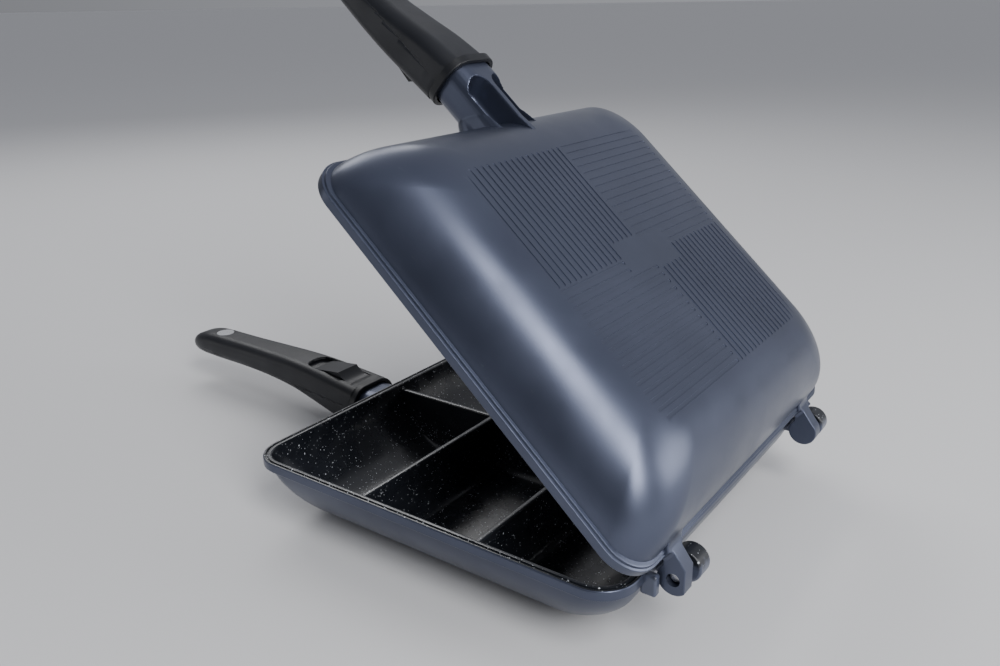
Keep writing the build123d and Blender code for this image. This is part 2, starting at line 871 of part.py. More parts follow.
write_handle_piece(cover, "grip_cover")

with BuildPart() as grip_shell:
    add(grip.part)
    split(bisect_by=crease, keep=Keep.BOTTOM)
    # ribs that carry the sleeve
    for distance in cradle_along:
        bottom = grip_at(distance)[2]
        sleeve_bottom = tongue_drop + sleeve_height / 2
        with BuildSketch(cross_plane(collar_y + distance)):
            with Locations((0, parting - sleeve_bottom)):
                Rectangle(
                    cradle_width,
                    bottom - grip_wall / 2 - sleeve_bottom,
                    align=(Align.CENTER, Align.MAX),
                )
        extrude(amount=cradle_thickness / 2, both=True)
write_handle_piece(grip_shell, "grip_shell")

# --- magnet and screws ----------------------------------------------------------
with BuildPart() as magnet:
    with BuildSketch(Plane.XY.offset(parting - magnet_floor)):
        with Locations((0, collar_y + magnet_along)):
            Circle(magnet_diameter / 2)
    extrude(amount=magnet_thickness)
    chamfer(magnet.edges().group_by(Axis.Z)[-1], screw_edge)
write_handle_piece(magnet, "handle_magnet")

with BuildPart() as screws:
    for distance in screw_along:
        _, top, bottom = grip_at(distance)
        tip_drop = top + magnet_recess + magnet_thickness + screw_tip_cover
        head_drop = bottom - screw_head_sink - screw_head_height
        with BuildSketch(Plane.XY.offset(parting - head_drop)):
            with Locations((0, collar_y + distance)):
                Circle(screw_shank_diameter / 2)
        extrude(amount=head_drop - tip_drop)
        with BuildSketch(Plane.XY.offset(parting - head_drop)):
            with Locations((0, collar_y + distance)):
                Circle(screw_head_diameter / 2)
        extrude(amount=-screw_head_height)
write_handle_piece(screws, "grip_screws")
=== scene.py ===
import json
from math import acos, asin, cos, degrees, pi, radians, sin, sqrt, tan

import bmesh
import bpy
from mathutils import Matrix, Quaternion, Vector


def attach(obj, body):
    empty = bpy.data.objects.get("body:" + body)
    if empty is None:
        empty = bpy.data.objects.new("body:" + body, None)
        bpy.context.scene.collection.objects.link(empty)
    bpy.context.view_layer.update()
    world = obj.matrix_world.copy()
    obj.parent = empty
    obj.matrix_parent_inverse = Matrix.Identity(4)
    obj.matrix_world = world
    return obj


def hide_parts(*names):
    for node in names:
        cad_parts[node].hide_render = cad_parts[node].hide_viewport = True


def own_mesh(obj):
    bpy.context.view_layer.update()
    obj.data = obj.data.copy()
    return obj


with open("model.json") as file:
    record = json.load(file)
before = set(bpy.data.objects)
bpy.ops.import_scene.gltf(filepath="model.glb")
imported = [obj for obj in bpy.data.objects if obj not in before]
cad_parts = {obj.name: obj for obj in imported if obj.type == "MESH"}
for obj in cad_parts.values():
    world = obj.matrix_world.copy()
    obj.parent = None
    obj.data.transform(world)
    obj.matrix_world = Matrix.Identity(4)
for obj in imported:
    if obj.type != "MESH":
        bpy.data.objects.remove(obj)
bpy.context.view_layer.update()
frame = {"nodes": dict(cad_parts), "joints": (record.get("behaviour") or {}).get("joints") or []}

scene = bpy.context.scene
collection = scene.collection
nodes = frame["nodes"]
print("frame loaded,", len(nodes), "pieces")


# nodes of materials and shapes


def addNode(tree, kind, inputs=None, **settings):
    node = tree.nodes.new(kind)
    for name, value in settings.items():
        setattr(node, name, value)
    for key, value in (inputs or {}).items():
        if isinstance(value, bpy.types.NodeSocket):
            tree.links.new(value, node.inputs[key])
        else:
            node.inputs[key].default_value = value
    return node


def noise(tree, place, scale, detail, roughness=0.5):
    inputs = {"Vector": place, "Scale": scale, "Detail": detail, "Roughness": roughness}
    return addNode(tree, "ShaderNodeTexNoise", inputs).outputs["Fac"]


def spread(tree, value, low, high, start, end):
    inputs = {"Value": value, "From Min": low, "From Max": high, "To Min": start, "To Max": end}
    return addNode(tree, "ShaderNodeMapRange", inputs).outputs["Result"]


def mixColour(tree, factor, first, second):
    # the mixing node keeps its colours in sockets 6 and 7, and its mixed colour in 2
    inputs = {0: factor, 6: first, 7: second}
    return addNode(tree, "ShaderNodeMix", inputs, data_type="RGBA").outputs[2]


def maths(tree, operation, first, second):
    return addNode(tree, "ShaderNodeMath", {0: first, 1: second}, operation=operation).outputs[0]


def addBump(tree, shader, height, strength, distance):
    inputs = {"Height": height, "Strength": strength, "Distance": distance}
    bump = addNode(tree, "ShaderNodeBump", inputs)
    tree.links.new(bump.outputs["Normal"], shader.inputs["Normal"])


def stretched(tree, place, scale):
    return addNode(tree, "ShaderNodeMapping", {"Vector": place, "Scale": scale}).outputs["Vector"]


def cloudy(tree, place, scale, detail=4, low=0, high=1):
    # soft blotches, from low to high
    return spread(tree, noise(tree, place, scale, detail), 0.35, 0.65, low, high)


# camera, floor and light


def addObject(name, data):
    added = bpy.data.objects.new(name, data)
    collection.objects.link(added)
    return added


def aimFrom(thing, place, aim, roll=0):
    # looks from the place at the aim, rolled about its own view by degrees
    turn = (Vector(aim) - Vector(place)).to_track_quat("-Z", "Y")
    thing.location = place
    thing.rotation_mode = "QUATERNION"
    thing.rotation_quaternion = turn @ Quaternion((0, 0, 1), radians(roll))


cameraSetup = {
    "place": (-0.37195, -0.24004, 0.25467),
    "aim": (0.10463, 0.10466, 0.038),
    "roll": -0.918,
    "lens": 32.19,
    "sensor": 36.0,
    "clip": (0.01, 500),
}


def addCamera(setup):
    data = bpy.data.cameras.new("camera")
    data.lens = setup["lens"]
    data.sensor_width = setup["sensor"]
    data.sensor_fit = "HORIZONTAL"
    data.clip_start, data.clip_end = setup["clip"]
    camera = addObject("camera", data)
    aimFrom(camera, setup["place"], setup["aim"], setup["roll"])
    scene.camera = camera


studio = {
    "floorColour": (0.66, 0.66, 0.67, 1),
    "floorRoughness": 0.75,
    "floorSize": 400.0,
    # the sky gets brighter towards its bright side, from a start given as the cosine from it
    "skyColour": (0.86, 0.88, 0.95, 1),
    "skyLow": 0.03,
    "skyHigh": 0.60,
    "skySide": (0.55, -0.10, 0.83),
    "skyStart": -0.4,
    # name: (place, aim, width, height, watts)
    "lights": {
        "key": ((-0.54, -1.00, 0.98), (0.0, 0.0, 0.12), 0.50, 1.15, 21),
        "fill": ((0.55, -1.20, 0.42), (0.0, 0.0, 0.08), 0.8, 0.5, 7),
        "back": ((0.6, 1.1, 1.1), (0.0, 0.0, 0.15), 1.0, 0.5, 8),
        "side": ((-1.30, 1.50, 0.36), (0.0, 0.1, 0.22), 1.2, 0.6, 2.6),
    },
}


def addFloor(setup):
    half = setup["floorSize"] / 2
    mesh = bpy.data.meshes.new("floor")
    corners = [(-half, -half, 0), (half, -half, 0), (half, half, 0), (-half, half, 0)]
    mesh.from_pydata(corners, [], [(0, 1, 2, 3)])
    material = bpy.data.materials.new("floor paint")
    material.use_nodes = True
    shader = material.node_tree.nodes["Principled BSDF"]
    shader.inputs["Base Color"].default_value = setup["floorColour"]
    shader.inputs["Roughness"].default_value = setup["floorRoughness"]
    mesh.materials.append(material)
    addObject("floor", mesh)


def addSky(setup):
    world = bpy.data.worlds.new("studio")
    world.use_nodes = True
    tree = world.node_tree
    sky = tree.nodes["Background"]
    sky.inputs["Color"].default_value = setup["skyColour"]
    direction = addNode(tree, "ShaderNodeTexCoord").outputs["Generated"]
    towards = {0: direction, 1: setup["skySide"]}
    side = addNode(tree, "ShaderNodeVectorMath", towards, operation="DOT_PRODUCT").outputs["Value"]
    strength = spread(tree, side, setup["skyStart"], 1, setup["skyLow"], setup["skyHigh"])
    tree.links.new(strength, sky.inputs["Strength"])
    scene.world = world


def addLights(setup):
    for name, (place, aim, width, height, watts) in setup["lights"].items():
        data = bpy.data.lights.new(name, "AREA")
        data.shape = "RECTANGLE"
        data.size = width
        data.size_y = height
        data.energy = watts
        aimFrom(addObject(name, data), place, aim)


addCamera(cameraSetup)
addFloor(studio)
addSky(studio)
addLights(studio)
print("studio ready")


# finishes


def startFinish(name, values):
    material = bpy.data.materials.new(name)
    material.use_nodes = True
    tree = material.node_tree
    shader = tree.nodes["Principled BSDF"]
    shader.inputs["Metallic"].default_value = values["metallic"]
    shader.inputs["Roughness"].default_value = values["gloss"]
    weight, roughness = values["coat"]
    shader.inputs["Coat Weight"].default_value = weight
    shader.inputs["Coat Roughness"].default_value = roughness
    place = addNode(tree, "ShaderNodeTexCoord").outputs["Object"]
    return material, tree, shader, place


# scales are in features per metre and depths in metres; gloss is the even roughness, which the
# range in roughness takes the place of, and coat the weight and roughness of the clear layer
slate = {
    "deep": (0.060, 0.070, 0.108, 1),
    "pale": (0.076, 0.088, 0.133, 1),
    "scuff": (0.16, 0.18, 0.21, 1),
    "scuffShare": 0.22,
    "scuffStretch": (900, 60, 260),
    "metallic": 0.72,
    "gloss": 0.35,
    "coat": (0.15, 0.3),
    "cloudScale": 14,
    "smudgeScale": 35,
    "roughness": (0.30, 0.40),
    "grainScale": 1400,
    "grainDepth": 0.00003,
}

stone = {
    "ground": (0.0085, 0.0100, 0.0140, 1),
    "groundPale": (0.0150, 0.0172, 0.0230, 1),
    "speck": (0.60, 0.63, 0.68, 1),
    # cells per metre, largest speck in cells, share of cells with a speck
    "specks": ((280, 0.19, 0.22), (480, 0.23, 0.38), (950, 0.28, 0.50)),
    "speckEdge": 0.05,
    "metallic": 0.0,
    "gloss": 0.28,
    "coat": (0.25, 0.18),
    "cloudScale": 60,
    "smudgeScale": 90,
    "roughness": (0.22, 0.34),
    "skinScale": 420,
    "skinDepth": 0.00006,
}

# speckled above a level, slate below, with a ragged border
overspray = {
    "level": 0.0375,
    "border": 0.0015,
    "raggedScale": 450,
    "raggedDepth": 0.006,
    "metallic": 0.2,
    "gloss": 0.33,
    "coat": (0.2, 0.25),
    "skinScale": 500,
    "skinDepth": 0.00006,
}


def slateColour(tree, place, values):
    cloud = cloudy(tree, place, values["cloudScale"], 3)
    body = mixColour(tree, cloud, values["deep"], values["pale"])
    streaks = noise(tree, stretched(tree, place, values["scuffStretch"]), 1, 3, 0.6)
    scuffs = spread(tree, streaks, 0.68, 0.80, 0, values["scuffShare"])
    return mixColour(tree, scuffs, body, values["scuff"])


def speckMask(tree, place, values):
    total = None
    for cells, largest, share in values["specks"]:
        inputs = {"Vector": place, "Scale": cells, "Randomness": 1.0}
        cell = addNode(tree, "ShaderNodeTexVoronoi", inputs)
        parts = addNode(tree, "ShaderNodeSeparateColor", {"Color": cell.outputs["Color"]})
        size = spread(tree, parts.outputs[0], 1 - share, 1, 0, largest)
        near = maths(tree, "SUBTRACT", size, cell.outputs["Distance"])
        mask = spread(tree, near, 0, values["speckEdge"], 0, 1)
        total = mask if total is None else maths(tree, "MAXIMUM", total, mask)
    return total


def stoneColour(tree, place, values):
    cloud = spread(tree, noise(tree, place, values["cloudScale"], 4), 0.35, 0.7, 0, 1)
    ground = mixColour(tree, cloud, values["ground"], values["groundPale"])
    mask = speckMask(tree, place, values)
    return mixColour(tree, mask, ground, values["speck"]), mask


def slateFinish(values):
    material, tree, shader, place = startFinish("slate coat", values)
    tree.links.new(slateColour(tree, place, values), shader.inputs["Base Color"])
    smudge = cloudy(tree, place, values["smudgeScale"], 4, *values["roughness"])
    tree.links.new(smudge, shader.inputs["Roughness"])
    addBump(tree, shader, noise(tree, place, values["grainScale"], 2), 0.35, values["grainDepth"])
    return material


def stoneFinish(values):
    material, tree, shader, place = startFinish("stone coat", values)
    colour, mask = stoneColour(tree, place, values)
    tree.links.new(colour, shader.inputs["Base Color"])
    smudge = cloudy(tree, place, values["smudgeScale"], 3, *values["roughness"])
    tree.links.new(smudge, shader.inputs["Roughness"])
    skin = noise(tree, place, values["skinScale"], 3)
    raised = maths(tree, "ADD", skin, maths(tree, "MULTIPLY", mask, 0.5))
    addBump(tree, shader, raised, 0.5, values["skinDepth"])
    return material


def oversprayFinish(slateValues, stoneValues, values):
    material, tree, shader, place = startFinish("overspray", values)
    height = addNode(tree, "ShaderNodeSeparateXYZ", {"Vector": place}).outputs["Z"]
    wander = maths(tree, "SUBTRACT", noise(tree, place, values["raggedScale"], 3), 0.5)
    ragged = maths(tree, "MULTIPLY", wander, values["raggedDepth"])
    low, high = values["level"] - values["border"], values["level"] + values["border"]
    share = spread(tree, maths(tree, "ADD", height, ragged), low, high, 0, 1)
    stoneSide = stoneColour(tree, place, stoneValues)[0]
    slateSide = slateColour(tree, place, slateValues)
    tree.links.new(mixColour(tree, share, slateSide, stoneSide), shader.inputs["Base Color"])
    addBump(tree, shader, noise(tree, place, values["skinScale"], 3), 0.4, values["skinDepth"])
    return material


plastic = {
    "worn": (0.06, 0.065, 0.075, 1),
    "wornShare": 0.18,
    "wornStretch": (700, 45, 700),
    "metallic": 0.0,
    "gloss": 0.45,
    "coat": (0.0, 0.2),
    "specular": 0.38,
    "cloudScale": 40,
    "smudgeScale": 55,
    "grainScale": 2600,
    "grainDepth": 0.00004,
}

# deep and pale colour, and roughness
plasticKinds = {
    "grip": ((0.0080, 0.0090, 0.0125, 1), (0.0115, 0.0128, 0.0170, 1), (0.38, 0.48)),
    "collar": ((0.0060, 0.0068, 0.0092, 1), (0.0085, 0.0094, 0.0122, 1), (0.36, 0.46)),
    "button": ((0.0090, 0.0100, 0.0138, 1), (0.0125, 0.0138, 0.0182, 1), (0.34, 0.44)),
}


def plasticFinish(kind, values):
    deep, pale, roughness = plasticKinds[kind]
    material, tree, shader, place = startFinish(kind + " plastic", values)
    shader.inputs["Specular IOR Level"].default_value = values["specular"]
    cloud = cloudy(tree, place, values["cloudScale"], 3)
    streaks = noise(tree, stretched(tree, place, values["wornStretch"]), 1, 2)
    body = mixColour(tree, cloud, deep, pale)
    rubbed = spread(tree, streaks, 0.70, 0.82, 0, values["wornShare"])
    tree.links.new(mixColour(tree, rubbed, body, values["worn"]), shader.inputs["Base Color"])
    smudge = cloudy(tree, place, values["smudgeScale"], 4, *roughness)
    tree.links.new(smudge, shader.inputs["Roughness"])
    addBump(tree, shader, noise(tree, place, values["grainScale"], 2), 0.45, values["grainDepth"])
    return material


metals = {
    "steel": {
        "colour": (0.62, 0.62, 0.64),
        "roughness": (0.22, 0.36),
        "brush": (300, 2600, 2600),
    },
    "nickel": {
        "colour": (0.66, 0.67, 0.69),
        "roughness": (0.27, 0.31),
        "brush": (5200, 5200, 5200),
    },
}
metalShared = {
    "metallic": 1.0,
    "gloss": 0.29,
    "coat": (0.0, 0.2),
    "dulled": 0.78,
    "grainDepth": 0.00002,
}


def metalFinish(name):
    values = {**metalShared, **metals[name]}
    material, tree, shader, place = startFinish(name, values)
    lines = noise(tree, stretched(tree, place, values["brush"]), 1, 3, 0.6)
    bright = values["colour"] + (1,)
    dulled = tuple(values["dulled"] * part for part in values["colour"]) + (1,)
    tree.links.new(mixColour(tree, lines, dulled, bright), shader.inputs["Base Color"])
    tree.links.new(spread(tree, lines, 0.3, 0.7, *values["roughness"]), shader.inputs["Roughness"])
    addBump(tree, shader, lines, 0.25, values["grainDepth"])
    return material


panFinishes = [slateFinish(slate), stoneFinish(stone), oversprayFinish(slate, stone, overspray)]
slateIndex, stoneIndex, oversprayIndex = range(3)
gripFinish, collarFinish, buttonFinish = [plasticFinish(kind, plastic) for kind in plasticKinds]
steelFinish, magnetFinish = [metalFinish(name) for name in metals]
print("finishes made")


# shared sizes and places, and helpers for shapes

pan = {
    "width": 0.230,
    "length": 0.215,
    "depth": 0.038,
    "rimCorner": 0.018,
    "rimHeight": 0.006,
    "overhang": 0.0026,
    "land": 0.0044,
    "shellRadius": 0.0395,
    "swell": 0.006,
    "floor": 0.0034,
    "rimGap": 0.0002,
    # drop of the inner wall's top edge, and how far the outer flat's first ring lies inside the wall
    "edgeDrop": 0.0009,
    "flatInset": 0.0015,
    "outerRings": 22,
    "innerRings": 24,
    "arcSteps": 14,
}
collarFace = 0.128

joints = {joint["name"]: joint for joint in frame["joints"]}
hingePlace = Vector(joints["lid_hinge"]["pos_m"])
openAngle = 42.0
turnLevel = pan["depth"] + pan["rimGap"] / 2
turnedOver = (
    Matrix.Translation((0, 0, turnLevel))
    @ Matrix.Rotation(pi, 4, "Y")
    @ Matrix.Translation((0, 0, -turnLevel))
)
lidSwing = (
    Matrix.Translation(hingePlace)
    @ Matrix.Rotation(radians(openAngle), 4, "X")
    @ Matrix.Translation(-hingePlace)
)


def meshObject(name, vertices, faces, finishes=(), indices=None):
    mesh = bpy.data.meshes.new(name)
    mesh.from_pydata(vertices, [], faces)
    for finish in finishes:
        mesh.materials.append(finish)
    if indices is not None:
        mesh.polygons.foreach_set("material_index", indices)
    form = bmesh.new()
    form.from_mesh(mesh)
    bmesh.ops.recalc_face_normals(form, faces=form.faces)
    form.to_mesh(mesh)
    form.free()
    return addObject(name, mesh)


def addModifier(piece, kind, **settings):
    modifier = piece.modifiers.new(kind.lower(), kind)
    for name, value in settings.items():
        setattr(modifier, name, value)
    return modifier


def applyModifiers(piece):
    graph = bpy.context.evaluated_depsgraph_get()
    made = bpy.data.meshes.new_from_object(piece.evaluated_get(graph))
    old = piece.data
    piece.modifiers.clear()
    piece.data = made
    bpy.data.meshes.remove(old)


def combine(piece, others, operation):
    for other in others:
        addModifier(piece, "BOOLEAN", operation=operation, solver="EXACT", object=other)
        applyModifiers(piece)
        bpy.data.objects.remove(other)


def roundEdges(piece, width, segments=3, angle=40):
    least = radians(angle)
    addModifier(
        piece, "BEVEL", width=width, segments=segments, limit_method="ANGLE", angle_limit=least
    )
    applyModifiers(piece)


def softenEdges(piece, cell, passes):
    # rounds every edge of a closed form by laying it out again in small even faces
    addModifier(piece, "REMESH", mode="VOXEL", voxel_size=cell)
    addModifier(piece, "SMOOTH", factor=0.5, iterations=passes)
    applyModifiers(piece)


def smoothOver(piece, angle=38, weight=60):
    piece.data.polygons.foreach_set("use_smooth", [True] * len(piece.data.polygons))
    piece.data.set_sharp_from_angle(angle=radians(angle))
    addModifier(piece, "WEIGHTED_NORMAL", keep_sharp=True, weight=weight)
    applyModifiers(piece)


def arc(centre, radius, start, end, steps):
    turns = [radians(start + (end - start) * step / steps) for step in range(steps + 1)]
    return [(centre[0] + radius * cos(turn), centre[1] + radius * sin(turn)) for turn in turns]


# the sides of the middle on which each corner lies, and where its arc begins
cornerTurns = ((1, 1, 0), (-1, 1, 90), (-1, -1, 180), (1, -1, 270))


def roundedOutline(halfX, halfZ, corner, steps, level=0):
    outline = []
    for signX, signZ, start in cornerTurns:
        centre = (signX * (halfX - corner), level + signZ * (halfZ - corner))
        outline += arc(centre, corner, start, start + 90, steps)
    return outline


def bridge(ringCount, count):
    # faces between rings of as many points each
    faces = []
    for first in range(0, (ringCount - 1) * count, count):
        for step in range(count):
            after = (step + 1) % count
            faces.append((first + step, first + after, first + count + after, first + count + step))
    return faces


# the pans: level rings of a rounded rectangle, from the outer flat over the rim to the floor

dividers = {
    "rows": (-0.03437, 0.03437),
    "middle": 0.0,
    "top": 0.0344,
    "topHalf": 0.0015,
    "edge": 0.0008,
    "footHalf": 0.0023,
    "fillet": 0.005,
    "blend": 0.003,
}

# lines of the floor's grid besides those of the dividers: the outermost ones on each side, and
# those between the two rows
floorLines = {
    "across": (0.010, 0.017, 0.028, 0.042, 0.056),
    "along": (0.045, 0.048),
    "between": (-0.020, -0.010, 0.0, 0.010, 0.020),
}


def dividerOffsets(values):
    top = values["topHalf"] - values["edge"]
    rounded = [top + values["edge"] * sin(radians(turn)) for turn in (0, 30, 60, 90)]
    widening = values["footHalf"] - values["topHalf"]
    flank = [values["topHalf"] + share * widening for share in (0.33, 0.67, 1)]
    turns = (15, 30, 45, 60, 75, 90)
    foot = [values["footHalf"] + values["fillet"] * (1 - cos(radians(turn))) for turn in turns]
    return rounded + flank + foot


def dividerLevel(offset, values):
    top, edge, fillet = values["top"], values["edge"], values["fillet"]
    flat = values["topHalf"] - edge
    footLevel = pan["floor"] + fillet
    if offset <= flat:
        return top
    if offset <= values["topHalf"]:
        return top - edge + sqrt(max(edge**2 - (offset - flat) ** 2, 0))
    if offset <= values["footHalf"]:
        share = (offset - values["topHalf"]) / (values["footHalf"] - values["topHalf"])
        return top - edge + share * (footLevel - top + edge)
    run = values["footHalf"] + fillet - offset
    if run > 0:
        return footLevel - sqrt(max(fillet**2 - run**2, 0))
    # far below the floor, so that it lifts nothing
    return pan["floor"] - 1


def panLines(values):
    offsets = dividerOffsets(values)
    around = [-offset for offset in reversed(offsets)] + [0.0] + offsets
    near, far = values["rows"]
    across, along = floorLines["across"], floorLines["along"]
    xs = [-x for x in reversed(across)] + [values["middle"] + offset for offset in around]
    xs += list(across)
    ys = [-y for y in reversed(along)] + [near + offset for offset in around]
    ys += list(floorLines["between"]) + [far + offset for offset in around] + list(along)
    return xs, ys


def ringOutline(halfX, halfY, corner, lines):
    xs, ys = lines
    steps = pan["arcSteps"]
    x, y = halfX - corner, halfY - corner
    return (
        [(halfX, line) for line in ys]
        + arc((x, y), corner, 0, 90, steps)
        + [(line, halfY) for line in reversed(xs)]
        + arc((-x, y), corner, 90, 180, steps)
        + [(-halfX, line) for line in reversed(ys)]
        + arc((-x, -y), corner, 180, 270, steps)
        + [(line, -halfY) for line in xs]
        + arc((x, -y), corner, 270, 360, steps)
    )


def bowlRings(radius, startInset, startLevel, topLevel, floorLevel, count):
    # down a round wall to the floor; the wall's inset is known at the start level
    corner = pan["rimCorner"] - startInset
    centreLevel = floorLevel + radius
    centreInset = startInset + radius * cos(asin((centreLevel - startLevel) / radius))
    first = asin((centreLevel - topLevel) / radius)
    rings = []
    for step in range(count + 1):
        turn = first + (pi / 2 - first) * step / count
        inset = centreInset - radius * cos(turn)
        rings.append((inset, centreLevel - radius * sin(turn), corner + pan["swell"] * sin(2 * turn)))
    return rings


def rimRings(points):
    return [(x / 1000, z / 1000, pan["rimCorner"] - x / 1000) for x, z in points]


# insets and levels in millimetres, from under the rim's edge over its top to its inner edge
rimOutside = [
    (2.40, 32.08), (1.75, 32.14), (1.42, 32.20), (1.28, 32.32), (1.22, 32.55), (1.20, 33.05),
    (1.08, 33.24), (0.45, 33.34), (0.16, 33.42), (0.04, 33.56), (0.0, 33.85), (0.0, 35.6),
    (0.0, 37.2), (0.06, 37.51), (0.24, 37.77), (0.49, 37.94), (0.8, 38.0),
]
channelRim = [
    (1.18, 38.0), (1.28, 37.95), (1.33, 37.8), (1.37, 37.2), (1.5, 37.02), (2.3, 37.02),
    (2.43, 37.2), (2.47, 37.8), (2.52, 37.95), (2.62, 38.0),
]
beadRim = [
    (1.42, 38.0), (1.5, 38.06), (1.54, 38.44), (1.66, 38.58), (2.14, 38.58), (2.26, 38.44),
    (2.3, 38.06), (2.38, 38.0),
]
rimInside = [(3.6, 38.0), (3.95, 37.96), (4.22, 37.82), (4.38, 37.55)]


def softMax(first, second, blend):
    room = max(blend - abs(first - second), 0)
    return max(first, second) + (room * room / blend / 4 if blend > 0 else 0)


def liftPoint(x, y, level, values):
    near, far = values["rows"]
    offsets = (y - near, y - far, x - values["middle"])
    raised = max(dividerLevel(abs(offset), values) for offset in offsets)
    return softMax(level, raised, min(values["blend"], max(level - pan["floor"], 0)))


def panRings(rimTop):
    # inset, level and corner radius of each ring, and the first ones of the coat and of the bowl
    radius, floor, top = pan["shellRadius"], pan["floor"], pan["depth"]
    rimFoot, edge = top - pan["rimHeight"], top - pan["edgeDrop"]
    outer = bowlRings(radius, pan["overhang"], rimFoot, rimFoot, 0, pan["outerRings"])
    inner = bowlRings(radius - floor, pan["land"], top, edge, floor, pan["innerRings"])
    inset, level, corner = outer[-1]
    flat = (inset + pan["flatInset"], level, corner - pan["flatInset"])
    rings = [flat] + outer[::-1] + rimRings(rimOutside + rimTop + rimInside) + inner
    return rings, len(outer) + len(rimOutside) - 1, len(rings) - len(inner)


def floorFaces(last, grid, wide, long):
    # a grid on the floor's lines, strips to the last ring and fans in its corners
    def at(column, row):
        return grid + column * long + row

    def side(start, count):
        return [start + step for step in range(count)]

    bend = pan["arcSteps"] + 1
    plusX = side(last, long)
    arcA = side(plusX[-1] + 1, bend)
    plusY = side(arcA[-1] + 1, wide)
    arcB = side(plusY[-1] + 1, bend)
    minusX = side(arcB[-1] + 1, long)
    arcC = side(minusX[-1] + 1, bend)
    minusY = side(arcC[-1] + 1, wide)
    arcD = side(minusY[-1] + 1, bend)
    right, top = wide - 1, long - 1
    faces = []
    for column in range(right):
        for row in range(top):
            here, beside = at(column, row), at(column + 1, row)
            faces.append((here, beside, beside + 1, here + 1))
    for row in range(top):
        faces.append((at(right, row), plusX[row], plusX[row + 1], at(right, row + 1)))
        faces.append((at(0, row), minusX[top - row], minusX[top - row - 1], at(0, row + 1)))
    for column in range(right):
        back = right - column
        faces.append((at(column, top), plusY[back], plusY[back - 1], at(column + 1, top)))
        faces.append((at(column, 0), minusY[column], minusY[column + 1], at(column + 1, 0)))
    fans = (
        (at(right, top), [plusX[-1]] + arcA + [plusY[0]]),
        (at(0, top), [plusY[-1]] + arcB + [minusX[0]]),
        (at(0, 0), [minusX[-1]] + arcC + [minusY[0]]),
        (at(right, 0), [minusY[-1]] + arcD + [plusX[0]]),
    )
    for centre, edgeLoop in fans:
        faces += [(centre, first, second) for first, second in zip(edgeLoop, edgeLoop[1:])]
    return faces


def panMesh(name, rimTop, lifted):
    xs, ys = lines = panLines(dividers)
    rings, coatStart, innerStart = panRings(rimTop)
    vertices = []
    for number, (inset, level, corner) in enumerate(rings):
        outline = ringOutline(pan["width"] / 2 - inset, pan["length"] / 2 - inset, corner, lines)
        for x, y in outline:
            z = liftPoint(x, y, level, dividers) if lifted and number >= innerStart else level
            vertices.append((x, y, z))
    count, grid = len(outline), len(vertices)
    for x in xs:
        for y in ys:
            z = liftPoint(x, y, pan["floor"], dividers) if lifted else pan["floor"]
            vertices.append((x, y, z))
    wall = bridge(len(rings), count)
    floor = floorFaces(grid - count, grid, len(xs), len(ys))
    bare = coatStart * count
    indices = [slateIndex] * bare + [stoneIndex] * (len(wall) - bare) + [slateIndex]
    indices += [stoneIndex] * len(floor)
    return meshObject(name, vertices, wall + [tuple(range(count))] + floor, panFinishes, indices)


# grooves of the outer flat, cut by rows of capsules made in Geometry Nodes

grooves = {
    "pitch": 0.00435,
    "firstRow": 0.0005,
    "firstColumn": 0.0019,
    "margin": 0.0014,
    "halfWidth": 0.00095,
    "depth": 0.0004,
    "ballSides": 16,
    "ballRings": 9,
    # how far the cutters' middle lies outside the flat
    "outside": 0.00005,
    "fieldX": 0.0770,
    "fieldY": 0.0669,
    "stripX": 0.043,
    "stripY": 0.017,
}


def storeNumber(tree, geometry, name, value):
    inputs = {"Geometry": geometry, "Name": name, "Value": value}
    kind = "GeometryNodeStoreNamedAttribute"
    return addNode(tree, kind, inputs, data_type="FLOAT", domain="POINT").outputs[0]


def readNumber(tree, name):
    node = addNode(tree, "GeometryNodeInputNamedAttribute", {"Name": name}, data_type="FLOAT")
    return node.outputs[0]


def alongAxis(tree, axis, value):
    return addNode(tree, "ShaderNodeCombineXYZ", {axis: value}).outputs[0]


def movePoints(tree, geometry, offset):
    inputs = {"Geometry": geometry, "Offset": offset}
    return addNode(tree, "GeometryNodeSetPosition", inputs).outputs[0]


